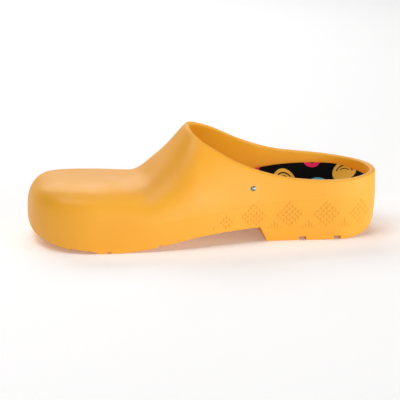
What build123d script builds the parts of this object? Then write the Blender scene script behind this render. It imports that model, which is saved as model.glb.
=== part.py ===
from build123d import *
import os

import numpy as np

# A left garden clog: a one-piece moulded shell, a removable footbed of four layers, and a rivet on
# each side of the quarter.  Millimetres.  X runs from toe to heel, Y from the lateral (outer) side to
# the medial (inner) side, and Z up from the ground.  The origin is on the ground in mid-length.
# "Station" below is the distance from the tip of the toe, so X = station - LENGTH / 2.

# ---- driving dimensions -------------------------------------------------------------------------
LENGTH = 276.0
SIDE_WALL = 5.0
TOP_WALL = 4.5
TOE_WALL = 6.0
HEEL_WALL = 5.0

# Plan outline: side limits of the shell against station, and the lengths of the rounded ends.
LATERAL = [(0, -45), (30, -48.5), (60, -50.5), (90, -51), (120, -48), (150, -42),
           (185, -37.5), (225, -38.7), (250, -39), (276, -37.5)]
MEDIAL = [(0, 50), (30, 50.9), (60, 51.1), (90, 50), (120, 45), (150, 39.5),
          (185, 36.5), (225, 37.5), (276, 36)]
MIDLINE = [(0, 9), (40, 13), (65, 11), (90, 4), (120, -2), (180, -1), (276, 0)]
TOE_ROUND = 48.0
TOE_POWER = 2.5
HEEL_ROUND = 40.0
HEEL_POWER = 2.3

# Heights against station: the widest level, the crown of the closed form, and the sole's underside.
GIRTH = [(0, 22), (50, 21), (100, 22), (140, 27), (180, 32), (220, 34), (276, 34)]
CROWN = [(0, 47.6), (14, 48.1), (26, 48.5), (45, 48.2), (62, 48.2), (73, 48.4), (80, 48.8), (86, 50),
         (93, 55.1), (100, 62.1), (110, 72.1), (120, 84.1), (125, 89.7), (132, 94), (145, 97),
         (160, 98), (276, 98)]
CROWN_ROUND = 22.0
CROWN_POWER = 2.4
SOLE = [(1.5, 10.6), (5, 9), (10, 7.2), (18, 5), (26, 3.2), (36, 1.5), (48, 0.3), (58, 0), (66, 0),
        (75, 0.7), (85, 1.9), (95, 3.4), (110, 6.1), (125, 8.6), (140, 10.1), (177, 12.3)]
SOLE_INSET = [(0, 2.5), (40, 1.2), (90, 1.2), (150, 3), (190, 4), (215, 3), (240, 1.8), (276, 4)]

# Shape of the upper's cross-section, from boxy at the toe to wall-sided at the heel.
SIDE_POWER = [(0, 4.4), (50, 4.3), (70, 3.3), (90, 2.3), (115, 2.0), (150, 2.0), (190, 3.0),
              (230, 4.0), (276, 4.0)]
TOP_POWER = [(0, 3.3), (50, 3.3), (70, 2.8), (90, 2.15), (115, 1.9), (150, 1.6), (190, 1.5),
             (276, 1.5)]

# Rim of the foot opening: height on the midline, and how much higher it is per millimetre of Y.
RIM = [(120, 92), (132, 84.6), (145, 78.2), (160, 69.9), (180, 60.9), (200, 55.1), (225, 51.7),
       (250, 50), (276, 49.5)]
RIM_TILT = [(120, 0.15), (135, 0.195), (150, 0.222), (167, 0.195), (180, 0.172), (198, 0.144),
            (230, 0.102), (250, 0.058), (276, 0)]

# Heel block and tread.  A groove runs between two stations, each with its roof height.
BREAST_TOP = 177.0
BREAST_FOOT = 183.2
HEEL_END = [(246, 0), (252, 0.8), (258, 2), (263, 3.3), (267, 4.6), (270.5, 6.2), (272.6, 8.6),
            (274.2, 15), (275.3, 24), (275.8, 34)]
GROOVES = [(27, 4.1, 47, 1.4), (55.2, 1.4, 57.8, 1.4), (95.2, 4.9, 97.8, 5.3),
           (208.1, 2.8, 213.7, 2.8), (235.6, 2.8, 241.3, 2.8)]

# How far the outer form goes on below the ground plane, where it is cut flat.
GROUND_TRIM = 1.0

# Cavity floor, and the footbed that lies on it.
FLOOR = [(0, 13), (60, 12.5), (95, 13.5), (130, 18), (165, 23), (200, 24), (276, 24)]
BED_TOE = 9.0
BED_HEEL = 270.0
BED_LATERAL = [(0, -38), (30, -41), (60, -43), (90, -43.3), (120, -40), (150, -33.8),
               (185, -29.2), (225, -30), (276, -30.5)]
BED_MEDIAL = [(0, 43), (30, 43.5), (60, 43.3), (90, 41.5), (120, 37), (150, 31.2), (185, 28.3),
              (225, 29.6), (276, 30)]
BED_CENTRE = [(0, 20), (60, 19.5), (95, 20.5), (130, 25), (165, 29.5), (200, 30.2), (235, 30.8),
              (250, 33), (262, 37.5), (271, 41)]
BED_EDGE = [(0, 21), (60, 22), (100, 24.5), (140, 33), (165, 39.5), (181, 43.3), (207, 46.7),
            (225, 46.9), (241, 46.2), (253, 45.1), (263, 42.8), (271, 41.3)]
BED_TOE_ROUND = 44.0
BED_HEEL_ROUND = 36.0
BED_GAP = 0.3
COVER = 0.9
FOAM = 1.6
BACKING = 0.8

# Rivet through each side wall of the quarter.
RIVET_STATION = 171.0
RIVET_HEIGHT = 43.8
RIVET_HEAD = 4.2
RIVET_DOME = 0.8
RIVET_SEAT = 0.4
RIVET_SHANK = 2.4
RIVET_TAIL = 3.6
RIVET_TAIL_THICK = 0.6
WASHER = 6.0
WASHER_THICK = 0.8
SEAT_CLEARANCE = 0.1
WASHER_DEPTH = 3.5

# Half-width of the cutters that run right across the clog.
WIDE = 70.0


def curve(points):
    """Return the natural cubic curve through (station, value) points, as a function of station."""
    x, y = np.array(points, float).T
    step = np.diff(x)
    bend = np.eye(len(x))
    load = np.zeros(len(x))
    for i in range(1, len(x) - 1):
        bend[i, i - 1:i + 2] = step[i - 1], 2 * (step[i - 1] + step[i]), step[i]
        load[i] = 6 * ((y[i + 1] - y[i]) / step[i] - (y[i] - y[i - 1]) / step[i - 1])
    second = np.linalg.solve(bend, load)

    def value(station):
        at = min(max(station, x[0]), x[-1])
        i = min(max(int(np.searchsorted(x, at)) - 1, 0), len(x) - 2)
        a, b = (x[i + 1] - at) / step[i], (at - x[i]) / step[i]
        cubic = (a**3 - a) * second[i] + (b**3 - b) * second[i + 1]
        return float(a * y[i] + b * y[i + 1] + cubic * step[i]**2 / 6)

    return value


lateral, medial, midline = curve(LATERAL), curve(MEDIAL), curve(MIDLINE)
girth, crown, sole_inset = curve(GIRTH), curve(CROWN), curve(SOLE_INSET)
side_power, top_power = curve(SIDE_POWER), curve(TOP_POWER)
rim, rim_tilt = curve(RIM), curve(RIM_TILT)
floor = curve(FLOOR)
bed_lateral, bed_medial = curve(BED_LATERAL), curve(BED_MEDIAL)
bed_centre, bed_edge = curve(BED_CENTRE), curve(BED_EDGE)


def rounded_end(distance, length, power):
    """Rise from 0 to 1 over the given length, as the quarter of a superellipse."""
    part = min(max(distance / length, 0), 1)
    return (1 - (1 - part)**power)**(1 / power)


def x_of(station):
    return station - LENGTH / 2


def outer_section(station):
    """Section of the closed outer form, from just under the ground plane up over the crown."""
    ends = rounded_end(station, TOE_ROUND, TOE_POWER)
    ends *= rounded_end(LENGTH - station, HEEL_ROUND, HEEL_POWER)
    middle = midline(station)
    left = middle + (lateral(station) - middle) * ends
    right = middle + (medial(station) - middle) * ends
    level = girth(station)
    top = level + (crown(station) - level) * rounded_end(station, CROWN_ROUND, CROWN_POWER)
    inset = sole_inset(station) * ends
    return left, right, middle, level, top, inset, -GROUND_TRIM


def inner_section(station):
    """Section of the cavity: the outer form drawn in by the wall, standing on the cavity floor."""
    inside = station - TOE_WALL
    behind = LENGTH - HEEL_WALL - station
    ends = rounded_end(inside, TOE_ROUND - TOE_WALL, TOE_POWER)
    ends *= rounded_end(behind, HEEL_ROUND - HEEL_WALL, HEEL_POWER)
    middle = midline(station)
    left = middle + (lateral(station) + SIDE_WALL - middle) * ends
    right = middle + (medial(station) - SIDE_WALL - middle) * ends
    level = max(girth(station), floor(station) + 8)
    ceiling = crown(station) - TOP_WALL
    top = level + (ceiling - level) * rounded_end(inside, CROWN_ROUND, CROWN_POWER)
    return left, right, middle, level, top, 1.5 * ends, floor(station)


def wall_y(station, height, side):
    """Y of the outer face of the wall on the lateral (-1) or medial (+1) side."""
    left, right, middle, level, top, inset, base = outer_section(station)
    lift = (height - level) / (top - level)
    reach = (1 - lift**top_power(station))**(1 / side_power(station))
    return middle + ((right if side > 0 else left) - middle) * reach


def rivet_plane(side):
    """Plane on the outer face of the wall at the rivet, looking outwards."""
    here = wall_y(RIVET_STATION, RIVET_HEIGHT, side)
    along = wall_y(RIVET_STATION + 1, RIVET_HEIGHT, side) - here
    upwards = wall_y(RIVET_STATION, RIVET_HEIGHT + 1, side) - here
    outwards = Vector(-side * along, side, -side * upwards)
    return Plane(origin=(x_of(RIVET_STATION), here, RIVET_HEIGHT), x_dir=(1, along, 0), z_dir=outwards)


def bed_ends(station):
    """Rounding of the footbed's toe and heel in plan, from 0 at the tips to 1 along the middle."""
    toe = rounded_end(station - BED_TOE, BED_TOE_ROUND, TOE_POWER)
    return toe * rounded_end(BED_HEEL - station, BED_HEEL_ROUND, HEEL_POWER)


def bed_line(station, depth):
    """Two halves of a line across the footbed, from its middle out to each side: a cup that rises."""
    ends = bed_ends(station)
    middle = midline(station)
    centre, edge = bed_centre(station), bed_edge(station)
    for side in (bed_lateral(station), bed_medial(station)):
        yield [(middle + (side - middle) * ends * part, centre + (edge - centre) * part**2 - depth)
               for part in (0, 0.25, 0.5, 0.75, 1)]


def draw_section(station, left, right, middle, level, top, inset, base):
    """Sketch one cross-section of the shell or of its cavity, across Y at the given station."""
    side, crest = side_power(station), top_power(station)

    def over(edge):
        """Points of the arch from a side edge up to the middle."""
        for turn in (0, 15, 32, 50, 68, 82):
            reach = np.cos(np.radians(turn))**(2 / side)
            yield middle + (edge - middle) * reach, level + (top - level) * (1 - reach**side)**(1 / crest)
        yield middle, top

    with BuildSketch(Plane.YZ.offset(x_of(station))) as section:
        with BuildLine():
            Line((right - inset, base), (left + inset, base))
            Spline((left + inset, base), (left + 0.25 * inset, (base + level) / 2), (left, level))
            Spline(*over(left), *reversed(list(over(right))[:-1]), tangents=[(0, 1), (0, -1)])
            Spline((right, level), (right - 0.25 * inset, (base + level) / 2), (right - inset, base))
        make_face()
    return section.sketch


OUTER_STATIONS = [0.4, 1.4, 3, 5.5, 9, 14, 21, 30, 40, 51, 62, 72, 81, 90, 98, 106, 114, 122, 131, 142,
                  155, 170, 187, 205, 222, 236, 247, 256, 263, 268.5, 272.4, 274.8, 275.7]
INNER_STATIONS = [6.4, 7.4, 9, 12, 16, 22, 30, 40, 52, 64, 75, 84, 92, 100, 108, 116, 124, 134, 146,
                  160, 176, 194, 212, 228, 241, 251, 258, 263.5, 267.5, 269.8, 270.7]
BED_STATIONS = [9.4, 11, 14, 19, 26, 36, 50, 66, 82, 98, 114, 130, 147, 165, 184, 203, 220, 234,
                246, 255, 262, 266.8, 269.2, 269.8]

with BuildPart() as shell:
    loft([draw_section(station, *outer_section(station)) for station in OUTER_STATIONS])

    # Everything above the rim is open: the cutter is ruled between two side views of the rim.
    for side in (-WIDE, WIDE):
        rim_points = [(x_of(station), rim(station) + rim_tilt(station) * side)
                      for station in (118, 124, 130, 137, 145, 154, 166, 180, 200, 225, 250, 282)]
        with BuildSketch(Plane.XZ.offset(-side)):
            with BuildLine():
                Spline(*rim_points)
                Polyline(rim_points[-1], (x_of(282), 130), (x_of(118), 130), rim_points[0])
            make_face()
    loft(ruled=True, mode=Mode.SUBTRACT)

    # The ground side: toe spring, ball, waist, and the heel block with its sloped breast.
    with BuildSketch(Plane.XZ):
        with BuildLine():
            sole_points = [(x_of(station), height) for station, height in SOLE]
            Spline(*sole_points)
            Polyline(sole_points[-1], (x_of(BREAST_FOOT), 0), (x_of(BREAST_FOOT), -5),
                     (x_of(-4), -5), (x_of(-4), 14), (x_of(0.4), 14), sole_points[0])
        make_face()
        with BuildLine():
            heel_points = [(x_of(station), height) for station, height in HEEL_END]
            Spline(*heel_points, tangents=[(1, 0), (0, 1)])
            Polyline(heel_points[-1], (x_of(LENGTH + 4), HEEL_END[-1][1]), (x_of(LENGTH + 4), -5),
                     (x_of(HEEL_END[0][0]), -5), heel_points[0])
        make_face()
        with Locations((0, -2.5)):
            Rectangle(LENGTH + 8, 5)
        for start, start_roof, end, end_roof in GROOVES:
            with BuildLine():
                Polyline((x_of(start), -2), (x_of(start), start_roof), (x_of(end), end_roof),
                         (x_of(end), -2), close=True)
            make_face()
    extrude(amount=WIDE, both=True, mode=Mode.SUBTRACT)

    # The cavity for the foot.
    loft([draw_section(station, *inner_section(station)) for station in INNER_STATIONS],
         mode=Mode.SUBTRACT)

    # Rivet holes, each with a seat for the head outside and one for the washer inside.
    for side in (-1, 1):
        face = rivet_plane(side)
        with BuildSketch(face.offset(5)):
            Circle(RIVET_SHANK / 2)
        extrude(amount=-15, mode=Mode.SUBTRACT)
        with BuildSketch(face.offset(-RIVET_SEAT)):
            Circle(RIVET_HEAD / 2 + SEAT_CLEARANCE)
        extrude(amount=5, mode=Mode.SUBTRACT)
        with BuildSketch(face.offset(-WASHER_DEPTH)):
            Circle(WASHER / 2 + SEAT_CLEARANCE)
        extrude(amount=-5, mode=Mode.SUBTRACT)
shell.part.label = "shell"
export_step(shell.part, "parts/shell.step")


def make_rivet(side):
    """Domed head outside, shank through the wall, and a tail clinched flat over the washer."""
    face = rivet_plane(side)
    with BuildPart() as rivet:
        with BuildSketch(face.offset(-RIVET_SEAT)):
            Circle(RIVET_HEAD / 2)
        extrude(amount=RIVET_SEAT + RIVET_DOME)
        fillet(rivet.faces().sort_by(Axis(face.origin, face.z_dir))[-1].edges(), 0.6)
        with BuildSketch(face.offset(-RIVET_SEAT)):
            Circle(RIVET_SHANK / 2)
        extrude(amount=-(WASHER_DEPTH + WASHER_THICK - RIVET_SEAT))
        with BuildSketch(face.offset(-WASHER_DEPTH - WASHER_THICK)):
            Circle(RIVET_TAIL / 2)
        extrude(amount=-RIVET_TAIL_THICK)
    return rivet.part


def make_washer(side):
    """Flat ring under the rivet's tail, sunk in the inner face of the wall."""
    with BuildPart() as washer:
        with BuildSketch(rivet_plane(side).offset(-WASHER_DEPTH)):
            Circle(WASHER / 2)
            Circle(RIVET_SHANK / 2, mode=Mode.SUBTRACT)
        extrude(amount=-WASHER_THICK)
    return washer.part


for side, name in ((-1, "lateral"), (1, "medial")):
    rivet = make_rivet(side)
    rivet.label = f"rivet_{name}"
    export_step(rivet, f"parts/rivet_{name}.step")
    washer = make_washer(side)
    washer.label = f"rivet_washer_{name}"
    export_step(washer, f"parts/rivet_washer_{name}.step")


def bed_sections(upper_line, lower_line):
    """Sections of one footbed layer between two lines across the footbed."""
    sections = []
    for station in BED_STATIONS:
        top_left, top_right = upper_line(station)
        low_left, low_right = lower_line(station)
        with BuildSketch(Plane.YZ.offset(x_of(station))) as section:
            with BuildLine():
                Spline(*reversed(top_left), *top_right[1:])
                Line(top_right[-1], low_right[-1])
                Spline(*reversed(low_right), *low_left[1:])
                Line(low_left[-1], top_left[-1])
            make_face()
        sections.append(section.sketch)
    return sections


def flat_line(height):
    """Face of a layer that lies flat, the given height over the cavity floor."""
    def line(station):
        level = floor(station) + height
        for half in bed_line(station, 0):
            yield [(across, level) for across, rise in half]
    return line


def cupped_line(depth):
    """Face of a layer that follows the footbed's top, the given depth under it."""
    return lambda station: bed_line(station, depth)


# Footbed: four layers that share their faces, from the cover down to the backing cloth.
with BuildPart() as footbed_cover:
    loft(bed_sections(cupped_line(0), cupped_line(COVER)))
footbed_cover.part.label = "footbed_cover"
export_step(footbed_cover.part, "parts/footbed_cover.step")

with BuildPart() as footbed_foam:
    loft(bed_sections(cupped_line(COVER), cupped_line(COVER + FOAM)))
footbed_foam.part.label = "footbed_foam"
export_step(footbed_foam.part, "parts/footbed_foam.step")

with BuildPart() as footbed_core:
    loft(bed_sections(cupped_line(COVER + FOAM), flat_line(BED_GAP + BACKING)))
footbed_core.part.label = "footbed_core"
export_step(footbed_core.part, "parts/footbed_core.step")

with BuildPart() as footbed_backing:
    loft(bed_sections(flat_line(BED_GAP + BACKING), flat_line(BED_GAP)))
footbed_backing.part.label = "footbed_backing"
export_step(footbed_backing.part, "parts/footbed_backing.step")
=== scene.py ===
import math

import bmesh
import bpy
import numpy as np
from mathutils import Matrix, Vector


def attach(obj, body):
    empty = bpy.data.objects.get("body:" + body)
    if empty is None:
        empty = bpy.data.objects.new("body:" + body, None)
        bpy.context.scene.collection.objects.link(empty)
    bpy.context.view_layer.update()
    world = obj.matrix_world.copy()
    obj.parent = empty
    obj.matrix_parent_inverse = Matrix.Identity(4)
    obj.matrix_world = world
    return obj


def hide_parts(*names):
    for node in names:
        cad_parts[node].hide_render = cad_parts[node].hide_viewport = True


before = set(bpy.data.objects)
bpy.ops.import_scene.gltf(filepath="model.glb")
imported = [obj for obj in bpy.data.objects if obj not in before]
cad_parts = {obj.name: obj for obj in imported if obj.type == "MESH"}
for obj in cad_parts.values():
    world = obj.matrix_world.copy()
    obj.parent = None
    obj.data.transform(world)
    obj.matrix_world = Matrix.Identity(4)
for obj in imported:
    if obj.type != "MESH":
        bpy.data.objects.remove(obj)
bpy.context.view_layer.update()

# The frame: X from toe to heel, Y from the lateral (outer) side to the medial side, Z up from the
# ground.  Shapes below are worked out in millimetres.  "Station" is the distance from the toe's tip.
MM = 0.001
LENGTH = 276.0

# ---- the clog's form: station, value -------------------------------------------------------------
LATERAL = [(0, -45), (30, -48.5), (60, -50.5), (90, -51), (120, -48), (150, -42),
           (185, -37.5), (225, -38.7), (250, -39), (276, -37.5)]
MEDIAL = [(0, 50), (30, 50.9), (60, 51.1), (90, 50), (120, 45), (150, 39.5),
          (185, 36.5), (225, 37.5), (276, 36)]
MIDLINE = [(0, 9), (40, 13), (65, 11), (90, 4), (120, -2), (180, -1), (276, 0)]
GIRTH = [(0, 22), (50, 21), (100, 22), (140, 27), (180, 32), (220, 34), (276, 34)]
CROWN = [(0, 47.6), (14, 48.1), (26, 48.5), (45, 48.2), (62, 48.2), (73, 48.4), (80, 48.8), (86, 50),
         (93, 55.1), (100, 62.1), (110, 72.1), (120, 84.1), (125, 89.7), (132, 94), (145, 97),
         (160, 98), (276, 98)]
SIDE_POWER = [(0, 4.4), (50, 4.3), (70, 3.3), (90, 2.3), (115, 2.0), (150, 2.0), (190, 3.0),
              (230, 4.0), (276, 4.0)]
TOP_POWER = [(0, 3.3), (50, 3.3), (70, 2.8), (90, 2.15), (115, 1.9), (150, 1.6), (190, 1.5),
             (276, 1.5)]
RIM = [(120, 92), (132, 84.6), (145, 78.2), (160, 69.9), (180, 60.9), (200, 55.1), (225, 51.7),
       (250, 50), (276, 49.5)]
RIM_TILT = [(120, 0.15), (135, 0.195), (150, 0.222), (167, 0.195), (180, 0.172), (198, 0.144),
            (230, 0.102), (250, 0.058), (276, 0)]
SOLE = [(0, 13), (1.5, 10.6), (5, 9), (10, 7.2), (18, 5), (26, 3.2), (36, 1.5), (48, 0.3), (58, 0),
        (66, 0), (75, 0.7), (85, 1.9), (95, 3.4), (110, 6.1), (125, 8.6), (140, 10.1),
        (177, 12.3)]
SOLE_INSET = [(0, 2.5), (40, 1.2), (90, 1.2), (150, 3), (190, 4), (215, 3), (240, 1.8), (276, 4)]
FLOOR = [(0, 13), (60, 12.5), (95, 13.5), (130, 18), (165, 23), (200, 24), (276, 24)]
TOE_REACH = 48.0            # how far each end is rounded in plan, and the power of its curve
TOE_POWER = 2.5
HEEL_REACH = 40.0
HEEL_POWER = 2.3
CROWN_TOE_REACH = 22.0      # the same for the height of the upper
CROWN_TOE_POWER = 2.4
CROWN_HEEL_REACH = 6.0
CROWN_HEEL_POWER = 2.2
LEAST_CAVITY_WALL = 8.0     # from the cavity's floor up to its widest level
WALL_DRAFT = 1.5            # how far the cavity narrows from there down to its floor
BREAST_TOP = 177.0
BREAST_FOOT = 183.2
HEEL_END = [(246, 0), (252, 0.8), (258, 2), (263, 3.3), (267, 4.6), (270.5, 6.2), (273.5, 8.6),
            (276, 12)]

# ---- the footbed ---------------------------------------------------------------------------------
BED_TOE = 9.0
BED_HEEL = 270.0
BED_LATERAL = [(0, -38), (30, -41), (60, -43), (90, -43.3), (120, -40), (150, -33.8),
               (185, -29.2), (225, -30), (276, -30.5)]
BED_MEDIAL = [(0, 43), (30, 43.5), (60, 43.3), (90, 41.5), (120, 37), (150, 31.2),
              (185, 28.3), (225, 29.6), (276, 30)]
BED_CENTRE = [(0, 20), (60, 19.5), (95, 20.5), (130, 25), (165, 29.5), (200, 30.2),
              (235, 30.8), (250, 33), (262, 37.5), (271, 41)]
BED_EDGE = [(0, 21), (60, 22), (100, 24.5), (140, 33), (165, 39.5), (181, 43.3), (207, 46.7),
            (225, 46.9), (241, 46.2), (253, 45.1), (263, 42.8), (271, 41.3)]
BED_TOE_REACH = 44.0
BED_HEEL_REACH = 36.0
BED_GAP = 0.3
COVER = 0.9
FOAM = 1.6
BACKING = 0.8

# ---- how finely the forms are sampled --------------------------------------------------------------
OUTLINE_POINTS = 4001
RIM_POINTS = 600
COLUMN_POINTS = 500
BISECTIONS = 60


def curve(points):
    """Natural cubic curve through (station, value) points, as a function of an array of stations."""
    x, y = np.array(points, float).T
    step = np.diff(x)
    bend = np.eye(len(x))
    load = np.zeros(len(x))
    for i in range(1, len(x) - 1):
        bend[i, i - 1:i + 2] = step[i - 1], 2 * (step[i - 1] + step[i]), step[i]
        load[i] = 6 * ((y[i + 1] - y[i]) / step[i] - (y[i] - y[i - 1]) / step[i - 1])
    second = np.linalg.solve(bend, load)

    def value(station):
        at = np.clip(np.asarray(station, float), x[0], x[-1])
        i = np.clip(np.searchsorted(x, at) - 1, 0, len(x) - 2)
        a, b = (x[i + 1] - at) / step[i], (at - x[i]) / step[i]
        cubic = (a**3 - a) * second[i] + (b**3 - b) * second[i + 1]
        return a * y[i] + b * y[i + 1] + cubic * step[i]**2 / 6

    return value


def rounded_end(distance, length, power):
    """Rise from 0 to 1 over the given length, as the quarter of a superellipse."""
    part = np.clip(np.asarray(distance, float) / length, 0, 1)
    return (1 - (1 - part)**power)**(1 / power)


lateral, medial, midline = curve(LATERAL), curve(MEDIAL), curve(MIDLINE)
girth, crown, sole_inset = curve(GIRTH), curve(CROWN), curve(SOLE_INSET)
side_power, top_power = curve(SIDE_POWER), curve(TOP_POWER)
rim, rim_tilt = curve(RIM), curve(RIM_TILT)
sole, heel_end, floor_height = curve(SOLE), curve(HEEL_END), curve(FLOOR)
bed_lateral, bed_medial = curve(BED_LATERAL), curve(BED_MEDIAL)
bed_centre, bed_edge = curve(BED_CENTRE), curve(BED_EDGE)


class Form:
    """The clog's closed outer form, or the cavity that lies a wall's thickness inside it."""

    def __init__(self, toe, heel, side_wall, top_wall):
        self.toe, self.heel = toe, LENGTH - heel
        self.side_wall, self.top_wall = side_wall, top_wall

    def half(self, station, side):
        """Signed Y of the plan outline on one side, -1 lateral or +1 medial."""
        ends = rounded_end(station - self.toe, TOE_REACH - self.toe, TOE_POWER)
        ends = ends * rounded_end(self.heel - station, HEEL_REACH - LENGTH + self.heel, HEEL_POWER)
        edge = np.where(side < 0, lateral(station), medial(station)) - side * self.side_wall
        return midline(station) + (edge - midline(station)) * ends

    def level(self, station):
        """Height of the widest level."""
        if self.side_wall:
            return np.maximum(girth(station), floor_height(station) + LEAST_CAVITY_WALL)
        return girth(station)

    def top(self, station):
        rise = rounded_end(station - self.toe, CROWN_TOE_REACH, CROWN_TOE_POWER)
        rise = rise * rounded_end(self.heel - station, CROWN_HEEL_REACH, CROWN_HEEL_POWER)
        return self.level(station) + (crown(station) - self.top_wall - self.level(station)) * rise

    def height(self, station, y):
        """Height of the upper over a point of the plan."""
        middle = midline(station)
        width = np.abs(self.half(station, np.where(y < middle, -1, 1)) - middle)
        reach = np.clip(np.abs(y - middle) / np.maximum(width, 1e-6), 0, 1)
        arch = (1 - reach**side_power(station))**(1 / top_power(station))
        return self.level(station) + (self.top(station) - self.level(station)) * arch

    def outline(self, side):
        """Fine plan outline of one side from toe tip to heel tip: stations, Y, and arc length."""
        turn = np.linspace(0, math.pi, OUTLINE_POINTS)
        station = self.toe + (self.heel - self.toe) * (1 - np.cos(turn)) / 2
        y = self.half(station, side)
        arc = np.concatenate([[0], np.cumsum(np.hypot(np.diff(station), np.diff(y)))])
        return station, y, arc


OUTER = Form(0.0, 0.0, 0.0, 0.0)
INNER = Form(6.0, 5.0, 5.0, 4.5)


def rim_height(station, y):
    return rim(station) + rim_tilt(station) * y


def bed_ends(station):
    """Rounding of the footbed's toe and heel in plan."""
    toe = rounded_end(station - BED_TOE, BED_TOE_REACH, TOE_POWER)
    return toe * rounded_end(BED_HEEL - station, BED_HEEL_REACH, HEEL_POWER)


def bed_half(station, side):
    edge = np.where(side < 0, bed_lateral(station), bed_medial(station))
    return midline(station) + (edge - midline(station)) * bed_ends(station)


def bed_height(station, y, depth):
    """Height of the footbed's cupped top over a point of the plan, or of a layer under it."""
    width = np.abs(bed_half(station, np.where(y < midline(station), -1, 1)) - midline(station))
    part = np.clip(np.abs(y - midline(station)) / np.maximum(width, 1e-6), 0, 1)
    return bed_centre(station) + (bed_edge(station) - bed_centre(station)) * part**2 - depth


def sole_height(station):
    """Underside of the shell against station: toe spring, ball, waist, breast and heel block."""
    breast = np.clip((station - BREAST_TOP) / (BREAST_FOOT - BREAST_TOP), 0, 1)
    return np.maximum(sole(station), 0) * (1 - breast) + np.maximum(heel_end(station), 0)


def cross(first, second, inside):
    """Bisect between arrays first (inside) and second for the place where inside() turns false."""
    for _ in range(BISECTIONS):
        middle = (first + second) / 2
        test = inside(middle)
        first, second = np.where(test, middle, first), np.where(test, second, middle)
    return (first + second) / 2


def resample(points, parts):
    """Points at given parts (0 to 1) of the arc length of each polyline in an array (n, m, 3)."""
    steps = np.linalg.norm(np.diff(points, axis=1), axis=2)
    arc = np.concatenate([np.zeros((len(points), 1)), np.cumsum(steps, axis=1)], axis=1)
    out = np.empty((len(points), len(parts), 3))
    for i, row in enumerate(points):
        for axis in range(3):
            out[i, :, axis] = np.interp(parts * arc[i, -1], arc[i], row[:, axis])
    return out


def mesh_piece(name, points, faces, sharp, inside=None):
    """Make a piece from points in millimetres (station, Y, Z) and faces, with coincident points merged.

    Sharp is the angle in degrees over which an edge isn't smoothed.  Inside is a number per face,
    kept as an attribute: 1 on the walls of the cavity.
    """
    vertices = np.array(points, float)
    vertices[:, 0] -= LENGTH / 2
    mesh = bpy.data.meshes.new(name)
    mesh.from_pydata((vertices * MM).tolist(), [], [list(map(int, f)) for f in faces])
    if inside is not None:
        mesh.attributes.new("inside", "FLOAT", "FACE").data.foreach_set("value", inside)
    work = bmesh.new()
    work.from_mesh(mesh)
    bmesh.ops.remove_doubles(work, verts=work.verts, dist=2e-6)
    bmesh.ops.dissolve_degenerate(work, edges=work.edges, dist=1e-7)
    bmesh.ops.recalc_face_normals(work, faces=work.faces)
    work.to_mesh(mesh)
    work.free()
    mesh.shade_smooth()
    mesh.set_sharp_from_angle(angle=math.radians(sharp))
    piece = bpy.data.objects.new(name, mesh)
    bpy.context.scene.collection.objects.link(piece)
    return piece


class Sheets:
    """Collects grids of points, each an array (rows, columns, 3), into one list of points and faces."""

    def __init__(self):
        self.points, self.faces, self.inside, self.count = [], [], [], 0

    def add(self, grid, inside=0.0):
        rows, columns = grid.shape[:2]
        index = self.count + np.arange(rows * columns).reshape(rows, columns)
        quads = np.stack([index[:-1, :-1], index[1:, :-1], index[1:, 1:], index[:-1, 1:]], axis=-1)
        self.points.append(grid.reshape(-1, 3))
        self.faces.append(quads.reshape(-1, 4))
        self.inside.append(np.full(quads[..., 0].size, inside))
        self.count += rows * columns

    def make(self, name, sharp):
        return mesh_piece(name, np.concatenate(self.points), np.concatenate(self.faces), sharp,
                          np.concatenate(self.inside))


# ---- the shell -----------------------------------------------------------------------------------
COLUMN_STEP = 1.25
VAMP_END = 100.0
FREE_RIM = 170.0
THROAT_RANGE = (115.0, 140.0)
DEEPEST_RIM = 12.0
CREST_START = 30.0
LOWER_ROWS = 14
UPPER_ROWS = 40
INNER_UPPER_ROWS = 26
INNER_LOWER_ROWS = 7
LIP_ROUND = 1.7
SOLE_ROUND = 0.9
PARTING_RISE = [(92, 0), (108, 0.13), (215, 0.13), (240, 0)]
GROUND_TRIM = 1.0
GROOVES = [(27, 4.1, 47, 1.4), (55.2, 1.4, 57.8, 1.4), (95.2, 4.9, 97.8, 5.3),
           (208.1, 2.8, 213.7, 2.8), (235.6, 2.8, 241.3, 2.8)]
GROOVE_WALL = 0.12


def shell_stations():
    """Stations of the shell's columns: even along the outline, with pairs at every tread edge."""
    station, _, arc = OUTER.outline(-1)
    even = np.interp(np.linspace(0, arc[-1], int(arc[-1] / COLUMN_STEP)), arc, station)
    edges = [BREAST_TOP, BREAST_FOOT, VAMP_END]
    for start, start_roof, end, end_roof in GROOVES:
        edges += [start - GROOVE_WALL, start + GROOVE_WALL, end - GROOVE_WALL, end + GROOVE_WALL]
    near = np.abs(even[:, None] - np.array(edges)[None, :]).min(axis=1)
    tips = (even < 0.01) | (even > LENGTH - 0.01)
    return np.sort(np.concatenate([even[(near > 0.45) | tips], edges]))


def outline_points(form, side, stations):
    """Plan points on an outline at the given stations, with the inward normals."""
    station, y, arc = form.outline(side)
    along = np.interp(stations, station, arc)
    ahead, behind = np.minimum(along + 0.2, arc[-1]), np.maximum(along - 0.2, 0)
    tangent = np.stack([np.interp(ahead, arc, station) - np.interp(behind, arc, station),
                        np.interp(ahead, arc, y) - np.interp(behind, arc, y)], axis=1)
    tangent /= np.linalg.norm(tangent, axis=1)[:, None]
    inward = np.stack([side * tangent[:, 1], -side * tangent[:, 0]], axis=1)
    inward[0], inward[-1] = (1, 0), (-1, 0)
    return np.stack([stations, np.interp(along, arc, y)], axis=1), inward


def surface_point(form, plan):
    return np.concatenate([plan, form.height(plan[..., 0], plan[..., 1])[..., None]], axis=-1)


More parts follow.
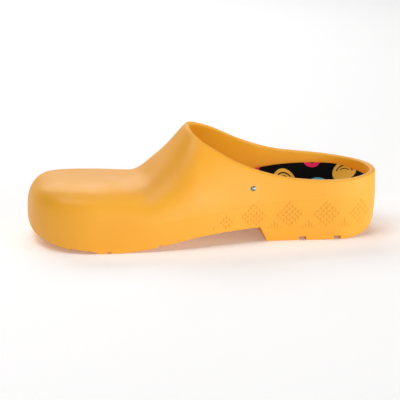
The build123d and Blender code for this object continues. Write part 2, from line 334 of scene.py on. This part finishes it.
def rim_columns(form, side, stations, plan, inward, vamp, free):
    """Where each column meets the crest or the rim: the end of its wall, and the rim's corner."""
    throat = float(cross(*np.array(THROAT_RANGE), lambda s: form.top(s) < rim_height(s, midline(s))))

    # Behind FREE_RIM a column goes straight in from the outline until it is under the rim.
    def under_rim(depth):
        at = plan[free:] + inward[free:] * depth[:, None]
        return form.height(at[:, 0], at[:, 1]) < rim_height(at[:, 0], at[:, 1])

    count = len(stations) - free
    depth = cross(np.zeros(count), np.full(count, DEEPEST_RIM), under_rim)
    behind = plan[free:] + inward[free:] * depth[:, None]

    # From the throat back to there, columns end evenly along the rim's own line.
    station = throat + (behind[0, 0] - throat) * np.linspace(0, 1, RIM_POINTS)**2

    def above_rim(reach):
        y = midline(station) + (form.half(station, side) - midline(station)) * reach
        return form.height(station, y) > rim_height(station, y)

    reach = cross(np.zeros(RIM_POINTS), np.ones(RIM_POINTS), above_rim)
    reach[0] = 0
    y = midline(station) + (form.half(station, side) - midline(station)) * reach
    line = surface_point(form, np.stack([station, y], axis=1))
    arc = np.concatenate([[0], np.cumsum(np.linalg.norm(np.diff(line, axis=0), axis=1))])
    part = (stations[vamp:free] - stations[vamp]) / (stations[free] - stations[vamp])
    ahead = np.stack([np.interp(part * arc[-1], arc, line[:, i]) for i in (0, 1)], axis=1)
    corner = np.concatenate([ahead, behind])

    # The wall stops a lip's rounding short of the corner, square to the rim.
    tangent = np.gradient(corner, axis=0)
    tangent /= np.linalg.norm(tangent, axis=1)[:, None]
    square = np.stack([-side * tangent[:, 1], side * tangent[:, 0]], axis=1)
    square[0], square[-1] = (-1, 0), (1, 0)
    edge = surface_point(form, corner)

    def near(distance):
        at = surface_point(form, corner + square * distance[:, None])
        return np.linalg.norm(at - edge, axis=1) < LIP_ROUND

    distance = cross(np.zeros(len(corner)), np.full(len(corner), LIP_ROUND), near)
    stop = corner + square * distance[:, None]
    stop[0, 1] = midline(stop[0, 0])

    # In front of the throat, columns of both sides meet on the crest of the vamp.
    arc = np.concatenate([[0], np.cumsum(np.linalg.norm(np.diff(plan, axis=0), axis=1))])
    crest = CREST_START + (stop[0, 0] - CREST_START) * arc[:vamp] / arc[vamp]
    targets = np.concatenate([np.stack([crest, midline(crest)], axis=1), stop])
    return targets, edge


def upper_columns(form, plan, targets, rows):
    """Columns over the form from the outline to their targets, evenly resampled."""
    part = np.linspace(0, 1, COLUMN_POINTS)**2.5
    at = plan[:, None, :] + (targets - plan)[:, None, :] * part[None, :, None]
    columns = surface_point(form, at)
    columns[:, 0, 2] = form.level(plan[:, 0])
    return resample(columns, np.linspace(0, 1, rows))


def bend(start, corner, end, count):
    """Curves that round a corner, from start to end."""
    t = np.linspace(0, 1, count)[:, None]
    return ((1 - t)**2 * start[:, None, :] + 2 * t * (1 - t) * corner[:, None, :]
            + t**2 * end[:, None, :])


def toward(start, end, distance):
    way = end - start
    return start + way / np.maximum(np.linalg.norm(way, axis=-1, keepdims=True), 1e-9) * distance


def underside(station):
    """Height of the sole with its grooves."""
    height = sole_height(station)
    for start, start_roof, end, end_roof in GROOVES:
        inside = (station > start) & (station < end)
        roof = np.interp(station, [start, end], [start_roof, end_roof])
        height = np.where(inside, np.maximum(height, roof), height)
    return height


def make_shell():
    stations = shell_stations()
    vamp = int(np.argmin(np.abs(stations - VAMP_END)))
    free = int(np.searchsorted(stations, FREE_RIM))
    sheets = Sheets()
    sole_edges, floor_edges = [], []
    for side in (-1, 1):
        plan, inward = outline_points(OUTER, side, stations)
        targets, corner = rim_columns(OUTER, side, stations, plan, inward, vamp, free)
        upper = upper_columns(OUTER, plan, targets, UPPER_ROWS)

        # The lower wall is drawn in towards the sole, and rounded under.
        level = OUTER.level(stations)[:, None]
        base = underside(stations)[:, None] + SOLE_ROUND
        parts = np.concatenate([[0, 0.02], np.linspace(0.06, 1, LOWER_ROWS)])[None, :]
        z = level + (base - level) * parts
        draw = sole_inset(stations)[:, None] * ((level - z) / (level + GROUND_TRIM))**2
        lower = np.concatenate([plan[:, None, :] + inward[:, None, :] * draw[..., None],
                                z[..., None]], axis=2)
        foot = lower[:, -1] - [0, 0, SOLE_ROUND]
        lower[:, 0, :2] -= inward * np.interp(stations, *zip(*PARTING_RISE))[:, None]
        under = foot + np.concatenate([inward, np.zeros((len(inward), 1))], axis=1) * SOLE_ROUND
        edge = bend(lower[:, -1], foot, under, 5)
        sheets.add(np.concatenate([edge[:, :0:-1], lower[:, ::-1], upper[:, 1:]], axis=1))
        sole_edges.append(under)

        # The inner wall, from its own crest or rim down to the cavity floor.
        station, _, arc = OUTER.outline(side)
        inner_station, _, inner_arc = INNER.outline(side)
        share = np.interp(stations, station, arc) / arc[-1]
        inner_stations = np.interp(share * inner_arc[-1], inner_arc, inner_station)
        plan, inward = outline_points(INNER, side, inner_stations)
        targets, inner_corner = rim_columns(INNER, side, inner_stations, plan, inward, vamp, free)
        inner_upper = upper_columns(INNER, plan, targets, INNER_UPPER_ROWS)
        level = INNER.level(inner_stations)[:, None]
        parts = np.linspace(0, 1, INNER_LOWER_ROWS)[None, :]
        z = level + (floor_height(inner_stations)[:, None] - level) * parts
        at = plan[:, None, :] + inward[:, None, :] * (WALL_DRAFT * parts**2)[..., None]
        inner_lower = np.concatenate([at, z[..., None]], axis=2)
        sheets.add(np.concatenate([inner_upper[:, ::-1], inner_lower[:, 1:]], axis=1), 1.0)
        floor_edges.append(inner_lower[:, -1])

        # The lip, rounded at both corners of the rim.
        outer_flat = toward(corner, inner_corner, LIP_ROUND)
        inner_flat = toward(inner_corner, corner, LIP_ROUND)
        outer_bend = bend(upper[vamp:, -1], corner, outer_flat, 7)
        inner_bend = bend(inner_flat, inner_corner, inner_upper[vamp:, -1], 7)
        sheets.add(np.concatenate([outer_bend, inner_bend], axis=1))

    across = np.linspace(0, 1, 41)[None, :, None]
    sheets.add(sole_edges[0][:, None, :] * (1 - across) + sole_edges[1][:, None, :] * across)
    across = np.linspace(0, 1, 17)[None, :, None]
    sheets.add(floor_edges[0][:, None, :] * (1 - across) + floor_edges[1][:, None, :] * across)
    return sheets.make("clog_shell", sharp=35)


# ---- the relief on the walls -----------------------------------------------------------------------
# Diamonds of small square tiles: station, height, and how many tiles from the centre to a point.
# Every second ring of tiles is left out.  A negative number makes the upper half of a diamond, with
# all its tiles, standing on its widest row.  A tile that would reach below the wall is left out.
MOTIFS = [(172.1, 21.8, 4), (200.8, 21.7, 4), (230.0, 21.6, 4), (258.0, 20.6, 4), (149.9, 19.0, 2),
          (139.5, 14.6, 1), (189.0, 11.6, -2), (216.0, 11.4, -2), (244.5, 11.2, -2)]
TILE_PITCH = 2.3
TILE_SIZE = 1.95
TILE_RISE = 0.5
TRIANGLE_RISE = 0.32
TILE_BEVEL = 0.35
TILE_EDGE = 0.2             # height of the bevel
TILE_ROOT = 0.4             # depth of a tile's root inside the wall


def wall_points(side, along, z, out):
    """Points on the lower wall, given arc lengths along the outline and heights, and moved out."""
    station, _, arc = OUTER.outline(side)
    at = np.interp(along, arc, station)
    plan, inward = outline_points(OUTER, side, np.concatenate([[0], at, [LENGTH]]))
    level = OUTER.level(at)
    draw = sole_inset(at) * (np.maximum(level - z, 0) / (level + GROUND_TRIM))**2
    flat = plan[1:-1] + inward[1:-1] * (draw - out)[:, None]
    return np.concatenate([flat, z[:, None]], axis=1)


def make_relief():
    """The tiles, each of three squares of four points: its root, its edge and its top."""
    points, faces = [], []
    half = TILE_SIZE / 2
    for side in (-1, 1):
        station, _, arc = OUTER.outline(side)
        for middle, height, points_at in MOTIFS:
            centre, reach = np.interp(middle, station, arc), abs(points_at)
            rise = TILE_RISE if points_at > 0 else TRIANGLE_RISE
            lowest = float(sole_height(np.array(middle))) + SOLE_ROUND
            for i in range(-reach, reach + 1):
                for j in range(min(0, -points_at), reach + 1):
                    ring = abs(i) + abs(j)
                    foot = height + j * TILE_PITCH - half
                    if ring > reach or points_at > 0 and ring % 2 or foot < lowest:
                        continue
                    squares = []
                    for size, out in ((half, -TILE_ROOT), (half, rise - TILE_EDGE),
                                      (half - TILE_BEVEL, rise)):
                        u = np.array([-size, size, size, -size]) + centre + i * TILE_PITCH
                        v = np.array([-size, -size, size, size]) + height + j * TILE_PITCH
                        squares.append(wall_points(side, u, v, out))
                    index = len(points) * 3 * 4
                    points.append(np.concatenate(squares))
                    for first in (index, index + 4):
                        for corner in range(4):
                            after = (corner + 1) % 4
                            faces.append([first + corner, first + after,
                                          first + 4 + after, first + 4 + corner])
                    faces.append([index + 8, index + 9, index + 10, index + 11])
                    faces.append([index + 3, index + 2, index + 1, index])
    return mesh_piece("wall_relief", np.concatenate(points), faces, sharp=40)


# ---- the footbed ---------------------------------------------------------------------------------
def bed_stations(step):
    """Stations even along the footbed's outline, so both of its tips are round."""
    turn = np.linspace(0, math.pi, OUTLINE_POINTS)
    station = BED_TOE + (BED_HEEL - BED_TOE) * (1 - np.cos(turn)) / 2
    y = bed_half(station, -1)
    arc = np.concatenate([[0], np.cumsum(np.hypot(np.diff(station), np.diff(y)))])
    return np.interp(np.linspace(0, arc[-1], int(arc[-1] / step)), arc, station)


def bed_layer(name, upper, lower, rounding, step=2.0, across=45):
    """Closed layer between two height functions of the plan, with its upper edge rounded."""
    stations = bed_stations(step)
    edges = {}
    for side in (-1, 1):
        y = bed_half(stations, side)
        plan = np.stack([stations, y], axis=1)
        tangent = np.gradient(plan, axis=0)
        tangent /= np.linalg.norm(tangent, axis=1)[:, None]
        inward = np.stack([side * tangent[:, 1], -side * tangent[:, 0]], axis=1)
        inward[0], inward[-1] = (1, 0), (-1, 0)
        rows = []
        for turn in np.radians([0, 30, 60, 90]):
            at = plan + inward * rounding * (1 - math.cos(turn))
            z = upper(plan[:, 0], plan[:, 1]) - rounding * (1 - math.sin(turn))
            rows.append(np.concatenate([at, z[:, None]], axis=1))
        edges[side] = rows
    parts = np.linspace(0, 1, across)[1:-1, None]
    grid = []
    for k in range(len(stations)):
        left, right = [r[k] for r in edges[-1]], [r[k] for r in edges[1]]
        inner = left[-1][:2] * (1 - parts) + right[-1][:2] * parts
        top = np.concatenate([inner, upper(inner[:, 0], inner[:, 1])[:, None]], axis=1)
        low = left[0][:2] * (1 - parts) + right[0][:2] * parts
        ends = [np.append(p[:2], lower(*p[:2])) for p in (left[0], right[0])]
        bottom = np.concatenate([low, lower(low[:, 0], low[:, 1])[:, None]], axis=1)
        ring = [ends[0], *left, *top, *right[::-1], ends[1], *bottom[::-1], ends[0]]
        grid.append(np.array(ring))
    sheets = Sheets()
    sheets.add(np.array(grid))
    return sheets.make(name, sharp=50)


def bed_top(depth):
    return lambda station, y: bed_height(station, y, depth)


def bed_flat(height):
    return lambda station, y: floor_height(station) + height + 0 * y


# ---- rivets --------------------------------------------------------------------------------------
RIVET_STATION = 171.0
RIVET_HEIGHT = 43.8
WASHER_DEPTH = 3.5          # from the wall's outer face to the washer's
LATHE_SIDES = 48


def rivet_axes(side):
    """Origin on the wall's outer face, and the outward direction, as in the CAD model."""
    def wall_y(station, height):
        level = girth(station)
        lift = (height - level) / (OUTER.top(station) - level)
        reach = (1 - lift**top_power(station))**(1 / side_power(station))
        return float(midline(station) + (OUTER.half(station, side) - midline(station)) * reach)

    here = wall_y(RIVET_STATION, RIVET_HEIGHT)
    along = wall_y(RIVET_STATION + 1, RIVET_HEIGHT) - here
    upwards = wall_y(RIVET_STATION, RIVET_HEIGHT + 1) - here
    outwards = Vector((-side * along, side, -side * upwards)).normalized()
    return Vector((RIVET_STATION, here, RIVET_HEIGHT)), outwards


def lathe(name, origin, axis, profile, closed=False):
    """Turn a profile of (radius, distance along the axis) round an axis."""
    across = axis.orthogonal().normalized()
    third = axis.cross(across)
    turns = np.linspace(0, 2 * math.pi, LATHE_SIDES + 1)
    grid = []
    for radius, out in profile + ([profile[0]] if closed else []):
        grid.append([origin + axis * out + (across * math.cos(t) + third * math.sin(t)) * radius
                     for t in turns])
    sheets = Sheets()
    sheets.add(np.array([[list(p) for p in row] for row in grid]))
    return sheets.make(name, sharp=40)


def make_rivet(side, name):
    origin, axis = rivet_axes(side)
    tail = -WASHER_DEPTH - 0.8
    rivet = lathe(f"rivet_{name}_detail", origin, axis, [
        (0, 0.72), (0.5, 0.8), (1.2, 0.76), (1.7, 0.62), (2.0, 0.38), (2.1, 0.1), (2.1, -0.38),
        (1.2, -0.39), (1.2, tail), (1.65, tail - 0.02), (1.8, tail - 0.2), (1.72, tail - 0.45),
        (1.5, tail - 0.58), (1.1, tail - 0.55), (0.7, tail - 0.3), (0, tail - 0.22)])
    face = -WASHER_DEPTH
    washer = lathe(f"washer_{name}_detail", origin, axis, [
        (1.22, face - 0.05), (1.3, face), (2.85, face), (3.0, face - 0.12), (3.0, face - 0.66),
        (2.82, face - 0.8), (1.3, face - 0.8), (1.22, face - 0.74)], closed=True)
    return rivet, washer


# ---- materials -----------------------------------------------------------------------------------
class Paint:
    """A Principled material and short calls for the nodes in front of it."""

    def __init__(self, name, **constants):
        self.material = bpy.data.materials.new(name)
        self.material.use_nodes = True
        self.tree = self.material.node_tree
        self.shader = self.tree.nodes["Principled BSDF"]
        for socket, value in constants.items():
            self.shader.inputs[socket.replace("_", " ")].default_value = value
        self.where = self.node("ShaderNodeTexCoord").outputs["Object"]

    def node(self, kind, inputs=None, **settings):
        made = self.tree.nodes.new(kind)
        for key, value in settings.items():
            setattr(made, key, value)
        for key, value in (inputs or {}).items():
            self.put(value, made.inputs[key])
        return made

    def put(self, value, socket):
        if isinstance(value, bpy.types.NodeSocket):
            self.tree.links.new(value, socket)
        else:
            socket.default_value = value

    def noise(self, scale, detail=3.0, rough=0.5):
        return self.node("ShaderNodeTexNoise", {
            "Vector": self.where, "Scale": scale, "Detail": detail,
            "Roughness": rough}).outputs["Fac"]

    def math(self, operation, *values):
        return self.node("ShaderNodeMath", dict(enumerate(values)), operation=operation).outputs[0]

    def span(self, value, low, high, to_low=0.0, to_high=1.0):
        return self.node("ShaderNodeMapRange", {
            "Value": value, "From Min": low, "From Max": high, "To Min": to_low,
            "To Max": to_high}).outputs[0]

    def mix(self, factor, first, second):
        made = self.node("ShaderNodeMix", data_type="RGBA")
        for value, socket in ((factor, made.inputs[0]), (first, made.inputs[6]),
                              (second, made.inputs[7])):
            self.put(value, socket)
        return made.outputs[2]

    def bump(self, height, distance, strength=1.0, under=None):
        made = self.node("ShaderNodeBump", {"Height": height, "Distance": distance,
                                            "Strength": strength})
        if under:
            self.put(under, made.inputs["Normal"])
        return made.outputs["Normal"]

    def finish(self, **sockets):
        for socket, value in sockets.items():
            self.put(value, self.shader.inputs[socket.replace("_", " ")])
        return self.material


def rgb(red, green, blue):
    """Linear colour of an sRGB colour given from 0 to 255."""
    def linear(value):
        value /= 255
        return value / 12.92 if value <= 0.04045 else ((value + 0.055) / 1.055)**2.4
    return (linear(red), linear(green), linear(blue), 1.0)


def shell_material():
    """Satin moulded polyurethane with slight clouding, a fine skin and a few specks.

    Its translucency shows on the walls of the cavity; their redder orange is painted light.
    """
    paint = Paint("moulded_polyurethane", Specular_IOR_Level=0.42, Subsurface_Scale=0.03,
                  Subsurface_Radius=(1.0, 0.5, 0.12))
    inside = paint.node("ShaderNodeAttribute", attribute_name="inside").outputs["Fac"]
    cloud = paint.noise(18, 4)
    grain = paint.noise(900, 2)
    colour = paint.mix(paint.span(cloud, 0.3, 0.7), rgb(246, 170, 43), rgb(248, 176, 49))
    speck = paint.span(paint.noise(420, 2, 0.6), 0.68, 0.8)
    colour = paint.mix(paint.math("MULTIPLY", speck, 0.35), colour, rgb(228, 148, 36))
    # painted light: a redder orange on the cavity's walls for the light bouncing around inside
    colour = paint.mix(inside, colour, rgb(255, 171, 46))
    skin = paint.bump(grain, 0.00006, 0.5)
    skin = paint.bump(paint.noise(140, 3), 0.00018, 0.6, skin)
    rough = paint.span(paint.noise(60, 4), 0.25, 0.75, 0.40, 0.54)
    return paint.finish(Base_Color=colour, Roughness=rough, Normal=skin,
                        Subsurface_Weight=paint.math("MULTIPLY", inside, 0.8))


# The print's discs: station, Y, and colour number.  Each is turned by DISC_TURN from the one before.
# The arcs in a disc: radius, half the width, and how far from the disc's centre line they start.
DISC_RADIUS = 9.5
DISC_TURN = 4.4
DISC_ARCS = [(6.6, 0.5, 1.5), (4.2, 0.4, 2.4)]
DISC_COLOURS = [rgb(250, 186, 70), rgb(236, 40, 96), rgb(92, 186, 205)]
DISCS = [(184, 35.5, 1), (207, 16.3, 0), (232, 36, 1), (234, 8.9, 2), (256.6, 17.9, 0), (195, -8, 1),
         (219, -13, 0), (247, -13, 1), (207, -32, 2), (232, -35, 1), (256, -32, 0), (268, -4, 2),
         (181, 11, 2), (170, -12, 0), (182, -31, 1), (158, 28, 0), (155, 5, 1), (146, -18, 2),
         (158, -36, 0), (133, 18, 2), (135, 41, 1), (124, -4, 0), (131, -38, 1), (112, 30, 0),
         (104, 8, 1), (112, -22, 2), (92, -8, 0), (106, -43, 0), (88, 22, 2), (92, 44, 1),
         (86, -31, 1), (70, 4, 1), (64, 28, 0), (66, -20, 2), (64, -42, 0), (46, 12, 2),
         (44, -8, 0), (42, -31, 1), (42, 34, 1), (23, 0, 1), (22, 23, 0), (20, -22, 2)]


def cover_material():
    """Black printed cotton in a plain weave: scattered discs, each with two plain arcs inside."""
    paint = Paint("printed_cotton", Specular_IOR_Level=0.1)
    flat = paint.node("ShaderNodeVectorMath", {0: paint.where, 1: (1000.0, 1000.0, 0.0)},
                      operation="MULTIPLY").outputs[0]
    colour, local = DISC_COLOURS[0], (0.0, 99.0, 0.0, 1.0)
    for number, (station, y, tint) in enumerate(DISCS):
        offset = paint.node("ShaderNodeVectorMath", {0: flat, 1: (station - LENGTH / 2, y, 0.0)},
                            operation="SUBTRACT").outputs[0]
        reach = paint.node("ShaderNodeVectorMath", {0: offset}, operation="LENGTH").outputs["Value"]
        inside = paint.math("LESS_THAN", reach, DISC_RADIUS + 1)
        turned = paint.node("ShaderNodeVectorRotate", {"Vector": offset, "Angle": DISC_TURN * number},
                            rotation_type="Z_AXIS").outputs[0]
        local = paint.mix(inside, local, turned)
        colour = paint.mix(inside, colour, DISC_COLOURS[tint])

    # Inside a disc, local runs in millimetres from its centre; outside them all it is far away.
    radius = paint.node("ShaderNodeVectorMath", {0: local}, operation="LENGTH").outputs["Value"]
    side = paint.node("ShaderNodeSeparateXYZ", {0: local}).outputs[0]
    arcs = None
    for middle, width, start in DISC_ARCS:
        band = paint.math("COMPARE", radius, middle, width)
        band = paint.math("MULTIPLY", band, paint.math("GREATER_THAN", side, start))
        arcs = band if arcs is None else paint.math("MAXIMUM", arcs, band)
    colour = paint.mix(arcs, colour, rgb(44, 26, 30))
    black = paint.mix(paint.noise(300, 3), rgb(3, 3, 4), rgb(8, 8, 9))
    colour = paint.mix(paint.span(radius, DISC_RADIUS + 0.12, DISC_RADIUS - 0.12), black, colour)

    threads = [paint.node("ShaderNodeTexWave", {
        "Vector": paint.where, "Scale": 420.0, "Distortion": 0.6, "Detail": 1.0},
        bands_direction=direction).outputs["Fac"] for direction in "XY"]
    weave = paint.math("MAXIMUM", *threads)
    shade = paint.math("MULTIPLY", paint.math("SUBTRACT", 1.0, weave), 0.3)
    colour = paint.mix(shade, colour, rgb(10, 10, 12))
    return paint.finish(Base_Color=colour, Roughness=paint.span(weave, 0, 1, 0.95, 0.8),
                        Normal=paint.bump(weave, 0.00012, 0.8))


def foam_material():
    """Cream latex foam with open cells."""
    paint = Paint("latex_foam")
    cells = paint.node("ShaderNodeTexVoronoi", {"Vector": paint.where, "Scale": 1400.0})
    colour = paint.mix(paint.noise(90, 3), rgb(214, 203, 178), rgb(232, 224, 204))
    pores = paint.span(cells.outputs["Distance"], 0.1, 0.5)
    # painted shade: the middle of each open cell is painted darker, for the shade inside the pore
    colour = paint.mix(pores, rgb(176, 160, 132), colour)
    return paint.finish(Base_Color=colour, Roughness=paint.span(pores, 0, 1, 0.95, 0.8),
                        Normal=paint.bump(pores, 0.0002))


def cork_material():
    """Granulated cork bound with latex: grains of several browns, with dark gaps."""
    paint = Paint("granulated_cork")
    grains = paint.node("ShaderNodeTexVoronoi", {"Vector": paint.where, "Scale": 520.0})
    edges = paint.node("ShaderNodeTexVoronoi", {"Vector": paint.where, "Scale": 520.0},
                       feature="DISTANCE_TO_EDGE")
    tone = paint.node("ShaderNodeSeparateColor", {0: grains.outputs["Color"]}).outputs[0]
    colour = paint.mix(tone, rgb(142, 96, 58), rgb(196, 150, 104))
    colour = paint.mix(paint.span(paint.noise(1500, 3), 0.5, 0.7), colour, rgb(112, 70, 42))
    # painted shade: the gaps between the grains are painted dark brown, for the shade in them
    gap = paint.span(edges.outputs["Distance"], 0.0, 0.12)
    colour = paint.mix(gap, rgb(70, 44, 28), colour)
    return paint.finish(Base_Color=colour, Roughness=paint.span(tone, 0, 1, 0.7, 0.92),
                        Normal=paint.bump(gap, 0.0002))


def backing_material():
    """Thin non-woven cloth of pressed fibres."""
    paint = Paint("non_woven_cloth", Sheen_Weight=0.1)
    fibres = paint.node("ShaderNodeTexNoise", {"Vector": paint.where, "Scale": 700.0,
                                               "Detail": 4.0, "Distortion": 2.5}).outputs["Fac"]
    colour = paint.mix(paint.span(fibres, 0.3, 0.7), rgb(118, 104, 86), rgb(168, 154, 132))
    return paint.finish(Base_Color=colour, Roughness=paint.span(fibres, 0.3, 0.7, 0.95, 0.8),
                        Normal=paint.bump(fibres, 0.00015))


def metal_material():
    """Dull plated steel: fine scratches and a slight patchy tarnish."""
    paint = Paint("plated_steel", Metallic=1.0)
    tarnish = paint.noise(900, 4)
    scratch = paint.node("ShaderNodeTexWave", {"Vector": paint.where, "Scale": 2400.0,
                                               "Distortion": 6.0, "Detail": 3.0}).outputs["Fac"]
    colour = paint.mix(paint.span(tarnish, 0.35, 0.7), rgb(150, 162, 160), rgb(96, 112, 112))
    rough = paint.math("ADD", paint.span(tarnish, 0.3, 0.7, 0.28, 0.42),
                       paint.math("MULTIPLY", scratch, 0.06))
    return paint.finish(Base_Color=colour, Roughness=rough, Normal=paint.bump(scratch, 0.00001))


def floor_material():
    paint = Paint("studio_paper", Emission_Color=(1, 1, 1, 1), Emission_Strength=0.14)
    colour = paint.mix(paint.noise(4, 2), rgb(250, 249, 249), rgb(252, 251, 251))
    return paint.finish(Base_Color=colour, Roughness=paint.span(paint.noise(40), 0, 1, 0.9, 0.96))


# ---- the scene -----------------------------------------------------------------------------------
VIEW_AZIMUTH = math.radians(-9.5)
VIEW_ELEVATION = math.radians(14.5)
VIEW_DISTANCE = 1.5
VIEW_TARGET = Vector((-0.0026, 0, 0.0267))
LIT_POINT = Vector((0, 0, 0.03))
BACKDROP_START = 1.2
BACKDROP_BEND = 0.35


def make_camera():
    back = Vector((math.sin(VIEW_AZIMUTH) * math.cos(VIEW_ELEVATION),
                   -math.cos(VIEW_AZIMUTH) * math.cos(VIEW_ELEVATION), math.sin(VIEW_ELEVATION)))
    data = bpy.data.cameras.new("camera")
    data.lens = 170.6
    data.sensor_width = 36
    camera = bpy.data.objects.new("camera", data)
    camera.location = VIEW_TARGET + back * VIEW_DISTANCE
    camera.rotation_euler = (-back).to_track_quat("-Z", "Y").to_euler()
    bpy.context.scene.collection.objects.link(camera)
    bpy.context.scene.camera = camera


def make_light(name, place, size, power):
    data = bpy.data.lights.new(name, "AREA")
    data.shape = "RECTANGLE"
    data.size, data.size_y = size
    data.energy = power
    light = bpy.data.objects.new(name, data)
    light.location = place
    light.rotation_euler = (LIT_POINT - Vector(place)).to_track_quat("-Z", "Y").to_euler()
    bpy.context.scene.collection.objects.link(light)


def make_studio():
    bpy.ops.mesh.primitive_grid_add(x_subdivisions=20, y_subdivisions=20, size=8)
    ground = bpy.context.object
    ground.name = "studio_floor"
    for vertex in ground.data.vertices:
        behind = max(vertex.co.y - BACKDROP_START, 0)
        vertex.co.z = behind**2 * BACKDROP_BEND
    ground.data.shade_smooth()
    ground.data.materials.append(floor_material())
    world = bpy.data.worlds.new("studio")
    bpy.context.scene.world = world
    world.use_nodes = True
    background = world.node_tree.nodes["Background"]
    background.inputs["Color"].default_value = (1, 1, 1, 1)
    background.inputs["Strength"].default_value = 0.04
    make_light("top_softbox", (0, 0, 1.6), (1.6, 1.2), 5.5)
    make_light("back_softbox", (-0.2, 1.3, 1.0), (1.4, 0.8), 12)
    make_light("front_softbox", (-0.25, -1.6, 0.5), (0.9, 0.6), 2)
    make_light("upper_left_softbox", (-0.7, -0.3, 1.4), (1.0, 1.0), 10.3)
    make_light("low_front_softbox", (0.8, -1.5, 0.2), (0.8, 0.3), 8.8)
    make_light("low_right_softbox", (1.7, -0.7, 0.25), (0.8, 0.3), 14)
    bpy.context.scene.view_settings.view_transform = "Standard"


def dress(piece, material, body, slot, *nodes):
    """Give a piece its material, the body it rides on and the CAD nodes it stands for; slot isn't used.
    """
    piece.data.materials.clear()
    piece.data.materials.append(material)
    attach(piece, body)
    if nodes:
        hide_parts(*nodes)
    return piece


make_camera()
make_studio()

rubber = shell_material()
dress(make_shell(), rubber, "clog", "shell", "shell")
dress(make_relief(), rubber, "clog", "shell")

metal = metal_material()
for side, name in ((-1, "lateral"), (1, "medial")):
    rivet, washer = make_rivet(side, name)
    dress(rivet, metal, "clog", "rivet", f"rivet_{name}")
    dress(washer, metal, "clog", "rivet", f"rivet_washer_{name}")

under_foam = COVER + FOAM
cover = bed_layer("cover_cloth", bed_top(0), bed_top(COVER), 0.4, 1.6, 61)
dress(cover, cover_material(), "footbed", "cover", "footbed_cover")
foam = bed_layer("foam_pad", bed_top(COVER), bed_top(under_foam), 0.05)
dress(foam, foam_material(), "footbed", "foam", "footbed_foam")
core = bed_layer("cork_core", bed_top(under_foam), bed_flat(BED_GAP + BACKING), 0.05)
dress(core, cork_material(), "footbed", "cork", "footbed_core")
backing = bed_layer("backing_cloth", bed_flat(BED_GAP + BACKING), bed_flat(BED_GAP), 0.05)
dress(backing, backing_material(), "footbed", "backing", "footbed_backing")
